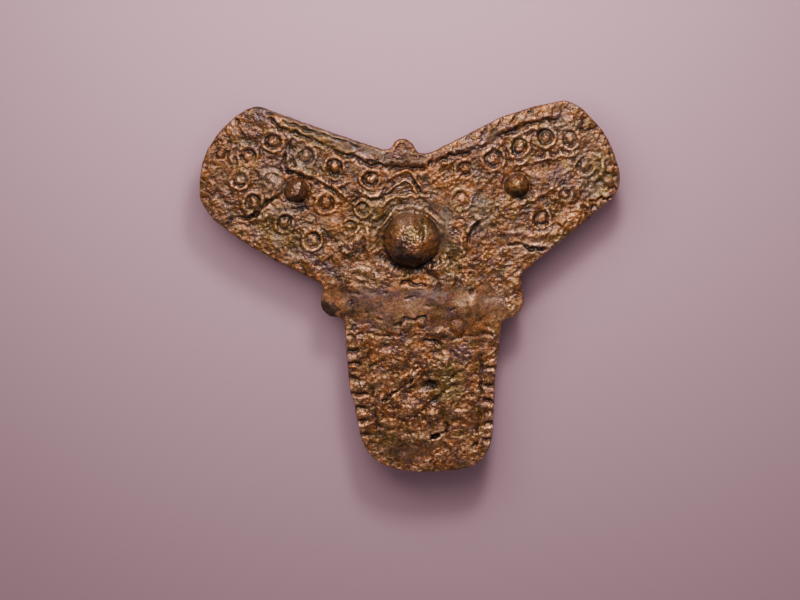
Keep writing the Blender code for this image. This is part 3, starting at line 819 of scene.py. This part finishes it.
@dataclass
class Bench:
    """Lays out the nodes of a material or of the world."""

    tree: bpy.types.NodeTree

    def fill(self, node: bpy.types.Node, inputs: dict) -> None:
        """Sets or links inputs of a node.

        Args:
            node: the node.
            inputs: a value or a socket for the name or the number of each.
        """
        for name, value in inputs.items():
            if isinstance(value, Socket):
                self.tree.links.new(value, node.inputs[name])
            else:
                node.inputs[name].default_value = value

    def add(self, kind: str, inputs: dict, output: str | int, **settings: str) -> Socket:
        """Adds a node.

        Args:
            kind: which node, without the words that all kinds start with.
            inputs: a value or a socket for the name or the number of each.
            output: the name or the number of the one that is wanted.
            settings: what else is set on the node.

        Returns:
            That output.
        """
        node = self.tree.nodes.new("ShaderNode" + kind)
        for name, value in settings.items():
            setattr(node, name, value)
        self.fill(node, inputs)
        return node.outputs[output]

    def attribute(self, name: str) -> Socket:
        """Reads a value kept on the points of the mesh."""
        return self.add("Attribute", {}, "Fac", attribute_name=name)

    def direction(self, axis: str) -> Socket:
        """How far a direction of the world points along an axis."""
        return self.add("SeparateXYZ", {"Vector": self.add("TexCoord", {}, "Generated")}, axis)

    def grain(self, scale: float, detail: float, roughness: float) -> Socket:
        """Noise from 0 to 1 on the object's own coordinates, with so many grains a metre."""
        inputs = {"Vector": self.add("TexCoord", {}, "Object"), "Scale": scale, "Detail": detail}
        return self.add("TexNoise", inputs | {"Roughness": roughness}, "Fac")

    def sum(self, *parts: tuple[Socket, float], less: float) -> Socket:
        """Adds values, each times its weight, and takes a number off.

        Args:
            parts: pairs of a value and its weight.
            less: the number.

        Returns:
            The sum.
        """
        total = -less
        for socket, weight in parts:
            total = self.add("Math", {0: socket, 1: weight, 2: total}, 0, operation="MULTIPLY_ADD")
        return total

    def times(self, first: Socket, second: Socket) -> Socket:
        """Multiplies two values."""
        return self.add("Math", {0: first, 1: second}, 0, operation="MULTIPLY")

    def range(self, socket: Socket, low: float, high: float, first: float, last: float) -> Socket:
        """Maps a value between low and high to one between first and last."""
        inputs = {"Value": socket, "From Min": low, "From Max": high, "To Min": first, "To Max": last}
        return self.add("MapRange", inputs, "Result")

    def ramp(self, socket: Socket, *stops: tuple[float, tuple]) -> Socket:
        """Turns a value into a colour.

        Args:
            socket: the value.
            stops: pairs of a place on the ramp and the colour there.

        Returns:
            The colour.
        """
        node = self.tree.nodes.new("ShaderNodeValToRGB")
        elements = node.color_ramp.elements
        while len(elements) < len(stops):
            elements.new(0.5)
        for element, (place, colour) in zip(elements, stops):
            element.position = place
            element.color = (*colour, 1)
        self.fill(node, {"Fac": socket})
        return node.outputs["Color"]

    def shaded(self, colour: tuple, tone: Socket) -> Socket:
        """A colour that is darker in the hollows and lighter on the crests: partly dirt and wear, partly painted shade
        and painted highlight.

        Args:
            colour: on the level.
            tone: how light each place is.

        Returns:
            The colour.
        """
        dark = tuple(0.25 * part for part in colour)
        light = tuple(min(1, 1.7 * part + 0.04) for part in colour)
        return self.ramp(tone, (0.12, dark), (0.5, colour), (0.85, light))

    def blend(self, share: Socket, first: Socket, second: Socket) -> Socket:
        """Mixes a share of the second colour into the first."""
        return self.add("Mix", {0: share, 6: first, 7: second}, 2, data_type="RGBA")

    def bump(self, socket: Socket, height: float) -> Socket:
        """Turns a value into a normal, for a relief of this height."""
        return self.add("Bump", {"Strength": 1.0, "Distance": height, "Height": socket}, "Normal")


@dataclass
class Skin:
    """The points of the fine mesh before it is carved, in millimetres."""

    world: Array
    normals: Array
    points: Array  # the same points, from the middle of the dome on the ground
    face: Face
    weight: Array  # how far each point belongs to the face, from 0 to 1

    @classmethod
    def of(cls, mesh: Mesh, outline: Array) -> "Skin":
        """Reads a mesh.

        Args:
            mesh: the fine mesh.
            outline: the stretches of the plate's outline.

        Returns:
            Its points and what is worked out for them.
        """
        world = vectors(mesh.vertices, "co") / MM
        points = world - (*MIDDLE, 0)
        face = Face(points[:, 0], points[:, 1], edge_distance(world[:, :2], outline))
        weight = ease((world[:, 2] - SECTION_Z) / (RIM_Z - SECTION_Z - 0.15))
        return cls(world, vectors(mesh.vertex_normals, "vector"), points, face, weight)

    def sideways(self, limit: float) -> Array:
        """How far each point of the plate's edge faces sideways, from 0 to 1."""
        return ease((limit - np.abs(self.normals[:, 2])) / 0.3) * (self.face.edge < 1)


@dataclass
class Brooch:
    """The one cast piece. Its sizes are in millimetres."""

    name: str = "brooch_cast"
    edge_wear: float = 0.1
    layer_depth: float = 0.05  # of the casting layers that show on the edge
    back_wear: float = 0.04
    side_roughness: float = 0.6  # of the form below the face
    edge_segments: int = 3
    same_point: float = 0.001

    def build(self) -> Thing:
        """Models and dresses the brooch.

        Returns:
            The object, which rides on the body and stands for the solid.
        """
        piece = self.blank()
        outline = self.outline(piece)
        self.refine(piece)
        skin = Skin.of(piece.data, outline)
        self.carve(piece.data, skin)
        self.lay_tints_and_shade(piece.data, skin)
        bpy.ops.object.shade_smooth()
        piece.data.materials.clear()
        piece.data.materials.append(Bronze().make())
        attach(piece, "root")
        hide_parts(NODE)
        LOG.info("%s: %d faces", piece.name, len(piece.data.polygons))
        return piece

    def blank(self) -> Thing:
        """Cuts the face off a copy of the solid.

        Returns:
            The plate with its fittings and a flat cut, as the active object.
        """
        bpy.ops.object.select_all(action="DESELECT")
        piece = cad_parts[NODE].copy()
        piece.data = piece.data.copy()
        piece.name = self.name
        bpy.context.scene.collection.objects.link(piece)
        piece.parent = None
        bpy.context.view_layer.objects.active = piece
        piece.select_set(True)
        bpy.ops.object.mode_set(mode="EDIT")
        bpy.ops.mesh.select_all(action="SELECT")
        bpy.ops.mesh.remove_doubles(threshold=self.same_point * MM)
        bpy.ops.mesh.bisect(plane_co=(0, 0, SECTION_Z * MM), plane_no=(0, 0, 1), use_fill=True, clear_outer=True)
        bpy.ops.object.mode_set(mode="OBJECT")
        return piece

    def outline(self, piece: Thing) -> Array:
        """Reads the outline of the cut.

        Args:
            piece: the plate with its flat cut.

        Returns:
            A pair of places in millimetres for each edge of the outline.
        """
        mesh = piece.data
        cut = [face for face in mesh.polygons if self.is_cut(face)]
        uses = Counter(mesh.loops[k].edge_index for face in cut for k in face.loop_indices)
        rim = [mesh.edges[edge].vertices for edge, count in uses.items() if count == 1]
        return np.array([[tuple(mesh.vertices[i].co)[:2] for i in pair] for pair in rim]) / MM

    def is_cut(self, face: bpy.types.MeshPolygon) -> bool:
        """Whether a face is part of the flat cut through the plate."""
        return face.normal.z > 0.9 and face.center.z > (SECTION_Z - self.same_point) * MM

    def refine(self, piece: Thing) -> None:
        """Raises the cut to the height of the borders, rounds its edge and gives it all an even, fine mesh.

        Args:
            piece: the plate with its flat cut, as the active object.
        """
        bpy.ops.object.mode_set(mode="EDIT")
        bpy.ops.mesh.select_all(action="DESELECT")
        bpy.ops.object.mode_set(mode="OBJECT")
        for face in piece.data.polygons:
            face.select = self.is_cut(face)
        bpy.ops.object.mode_set(mode="EDIT")
        bpy.ops.mesh.select_mode(type="FACE")
        bpy.ops.mesh.extrude_region_move(TRANSFORM_OT_translate={"value": (0, 0, (RIM_Z - SECTION_Z) * MM)})
        bpy.ops.mesh.region_to_loop()
        bpy.ops.mesh.bevel(offset=EDGE_ROUNDING * MM, segments=self.edge_segments, affect="EDGES")
        bpy.ops.object.mode_set(mode="OBJECT")
        piece.data.remesh_voxel_size = VOXEL * MM
        bpy.ops.object.voxel_remesh()
        for face in piece.data.polygons:
            face.select = face.normal.z > 0.25 and face.center.z > (SECTION_Z + 0.1) * MM
        bpy.ops.object.mode_set(mode="EDIT")
        bpy.ops.mesh.subdivide(number_cuts=1)
        bpy.ops.object.mode_set(mode="OBJECT")

    def carve(self, mesh: Mesh, skin: Skin) -> None:
        """Moves the points to the worn relief, and keeps how far each stands out and how rough it is.

        Args:
            mesh: the fine mesh.
            skin: its points.
        """
        top = skin.weight > 0
        carving = Carving(skin.points[top], Face(skin.face.x[top], skin.face.y[top], skin.face.edge[top]))
        carved = skin.world.copy()
        carved[top, 2] += skin.weight[top] * carving.lift()
        level = carved[:, 2].copy()
        bosses = np.zeros(len(carved))
        bosses[top] = carving.bosses()
        raised = skin.weight * bosses
        carved[:, 2] += raised
        self.wear(carved, skin)
        mesh.vertices.foreach_set("co", (carved * MM).astype(np.float32).ravel())
        mesh.update()

        roughness = np.full(len(carved), self.side_roughness)
        roughness[top] = carving.roughness() + 0.15 * bosses[top]
        # Darker where the metal is worn smooth, and painted light: lighter towards the bottom of the picture, against
        # the falloff of the lamps, and a little lighter towards the right.
        wear_and_painted_light = 0.1 * (roughness - 1) - 0.0035 * (skin.points[:, 1] + 5) + 0.001 * skin.points[:, 0]
        relief = self.relief(mesh, level + 0.12 * raised, skin.weight)
        self.keep(mesh, "relief", relief + wear_and_painted_light)
        self.keep(mesh, "roughness", roughness)

    def wear(self, carved: Array, skin: Skin) -> None:
        """Wears the plate's edge down to its casting layers, and the back a little.

        Args:
            carved: the places of the points, which are changed.
            skin: the points before carving.
        """
        worn = 0.5 + 0.5 * grain(skin.points, 1.1, Basis.CLOUDS, Seed.WEAR, 4)
        height, normals = skin.world[:, 2], skin.normals
        side = skin.sideways(0.75) * (height > BACK_Z + 0.1)
        carved[:, :2] -= (self.edge_wear * side * worn)[:, None] * normals[:, :2]
        layers = np.sin(height * 9 + 2.5 * grain(skin.points, 3.5, Basis.SOFT, Seed.CASTING_LAYERS))
        carved[:, :2] -= (self.layer_depth * side * (layers + 1))[:, None] * normals[:, :2]
        back = ease((0.4 - normals[:, 2]) / 0.3) * (height > FEET_Z)
        carved -= (self.back_wear * back * worn)[:, None] * normals

    def lay_tints_and_shade(self, mesh: Mesh, skin: Skin) -> None:
        """Keeps where each tint lies, fainter below the face, and with painted shade on all flanks but the picture's
        upper ones, which face the lamps.

        Args:
            mesh: the carved mesh.
            skin: its points before carving.
        """
        patina = Patina(skin.points, skin.face)
        for order, tint in enumerate(Tint):
            cover = patina.cover(tint, order) * np.where(skin.weight > 0.2, 1.0, 0.35)
            if tint is Tint.DARK_STAIN_AND_SHADE:
                # Painted shade: the flanks that face away from the lamps at the top of the picture are darkened.
                cover = np.maximum(cover, 0.8 * skin.sideways(0.8) * ease(0.6 - skin.normals[:, 1]))
            self.keep(mesh, tint.layer, cover)

    def relief(self, mesh: Mesh, height: Array, weight: Array) -> Array:
        """Compares each point with the metal round it, for the tone that paints shade into hollows and highlights onto
        crests.

        Args:
            mesh: the carved mesh.
            height: of each point.
            weight: how far each point belongs to the face.

        Returns:
            0 in a deep hollow, 0.5 on the level and 1 on a crest.
        """
        near = smoothed(mesh, height, 8)
        far = smoothed(mesh, height, 60)
        # Painted shade and highlight: the near term darkens small hollows and lightens crests, and the far term darkens
        # the broad hollows round the bosses and the dome.
        stands_out = 1.45 * (height - near) + 0.75 * (height - far)
        return np.clip(0.5 + weight * stands_out, 0, 1)

    @staticmethod
    def keep(mesh: Mesh, name: str, values: Array) -> None:
        """Keeps one value a point on the mesh."""
        layer = mesh.attributes.new(name, "FLOAT", "POINT")
        layer.data.foreach_set("value", values.astype(np.float32))


def vectors(items: bpy.types.bpy_prop_collection, name: str) -> Array:
    """Reads one vector from each item, as rows."""
    flat = np.empty(len(items) * 3, dtype=np.float32)
    items.foreach_get(name, flat)
    return flat.reshape(-1, 3)


def smoothed(mesh: Mesh, values: Array, rounds: int, own_share: float = 0.4) -> Array:
    """Averages each point's value with its neighbours'.

    Args:
        mesh: the mesh, whose edges join neighbours.
        values: one for each point.
        rounds: how many times.
        own_share: how much of its own value a point keeps each time.

    Returns:
        The averaged values.
    """
    edges = np.empty(len(mesh.edges) * 2, dtype=np.int32)
    mesh.edges.foreach_get("vertices", edges)
    first, second = edges[0::2], edges[1::2]
    count = len(values)
    degree = np.bincount(first, minlength=count) + np.bincount(second, minlength=count)
    result = values.astype(float)
    for _ in range(rounds):
        total = np.bincount(first, result[second], count) + np.bincount(second, result[first], count)
        result = own_share * result + (1 - own_share) * total / np.maximum(degree, 1)
    return result


def edge_distance(places: Array, outline: Array) -> Array:
    """Distance of each place to the nearest stretch of the outline.

    Args:
        places: one row (x, y) for each place.
        outline: pairs of places.

    Returns:
        One distance for each place.
    """
    best = np.full(len(places), np.inf)
    for (ax, ay), (bx, by) in outline:
        dx, dy = bx - ax, by - ay
        length = dx * dx + dy * dy
        if length < NO_LENGTH:
            continue
        t = np.clip(((places[:, 0] - ax) * dx + (places[:, 1] - ay) * dy) / length, 0, 1)
        best = np.minimum(best, np.hypot(places[:, 0] - ax - t * dx, places[:, 1] - ay - t * dy))
    return best


@dataclass(frozen=True)
class Paper:
    """Pale, slightly pink paper under the brooch."""

    name: str = "pale paper"
    colour: tuple = (0.53, 0.355, 0.435, 1)
    roughness: float = 0.9

    def make(self) -> Material:
        """Builds the plain material.

        Returns:
            The material.
        """
        material = bpy.data.materials.new(self.name)
        material.use_nodes = True
        shader = material.node_tree.nodes["Principled BSDF"]
        Bench(material.node_tree).fill(shader, {"Base Color": self.colour, "Roughness": self.roughness})
        return material


@dataclass(frozen=True)
class Lamp:
    """A square soft light that points at the brooch or beyond it. Its place and sizes are in millimetres."""

    name: str
    at: tuple
    size: float
    watts: float
    lead: float = 0.0  # how far beyond the brooch it points, towards the top of the picture


@dataclass
class Studio:
    """The floor, the lights and the camera. Places and sizes are in millimetres."""

    floor_size: float = 4000
    target: tuple = (-1.25, -1.70, 8.0)
    camera_at: tuple = (13.98, 38.80, 295.71)
    nearest: float = 10  # that the camera sees
    lens: float = 85.0
    sensor: float = 36.0
    lamps: tuple = (Lamp("key", (-12, 72, 88), 110, 0.143, 68), Lamp("spark", (20, 96, 104), 28, 0.105))
    light_colour: tuple = (1.0, 0.855, 0.81)
    ambient: tuple = (0.86, 0.68, 0.72, 1)
    ambient_strengths: tuple = (0.22, 0.305)  # low over the bottom edge of the picture, and over its top edge
    ambient_reach: float = 0.7  # of the direction towards those edges, where the strengths are reached

    def build(self) -> None:
        """Sets up everything round the brooch."""
        self.floor()
        for lamp in self.lamps:
            self.light(lamp)
        self.world()
        self.camera()

    def floor(self) -> None:
        """A plain floor on the ground."""
        bpy.ops.object.select_all(action="DESELECT")
        bpy.ops.mesh.primitive_plane_add(size=self.floor_size * MM, location=(0, 0, 0))
        ground = bpy.context.active_object
        ground.name = "floor"
        ground.data.materials.append(Paper().make())

    def light(self, lamp: Lamp) -> None:
        """Hangs up a lamp.

        Args:
            lamp: the lamp.
        """
        data = bpy.data.lights.new(lamp.name, "AREA")
        data.size = lamp.size * MM
        data.energy = lamp.watts
        data.color = self.light_colour
        light = bpy.data.objects.new(lamp.name, data)
        bpy.context.scene.collection.objects.link(light)
        light.location = Vector(lamp.at) * MM
        aim = (Vector(self.target) + Vector((0, lamp.lead, 0))) * MM
        light.rotation_euler = (light.location - aim).to_track_quat("Z", "Y").to_euler()

    def world(self) -> None:
        """The light of the pale room, which is darker on the side away from the lamps."""
        world = bpy.data.worlds.new("pale room")
        world.use_nodes = True
        bench = Bench(world.node_tree)
        reach = self.ambient_reach
        strength = bench.range(bench.direction("Y"), -reach, reach, *self.ambient_strengths)
        bench.fill(world.node_tree.nodes["Background"], {"Color": self.ambient, "Strength": strength})
        bpy.context.scene.world = world

    def camera(self) -> None:
        """The photographer's camera, a little above straight over the brooch."""
        data = bpy.data.cameras.new("camera")
        data.lens = self.lens
        data.sensor_width = self.sensor
        data.clip_start = self.nearest * MM
        camera = bpy.data.objects.new("camera", data)
        bpy.context.scene.collection.objects.link(camera)
        camera.location = Vector(self.camera_at) * MM
        back = (Vector(self.camera_at) - Vector(self.target)).normalized()
        right = Vector((0, 1, 0)).cross(back).normalized()
        camera.rotation_euler = Matrix((right, back.cross(right), back)).transposed().to_euler()
        bpy.context.scene.camera = camera


def main() -> None:
    """Builds the brooch and its studio."""
    logging.basicConfig(level=logging.INFO, format="%(message)s")
    Studio().build()
    Brooch().build()


if __name__ == "__main__":
    main()
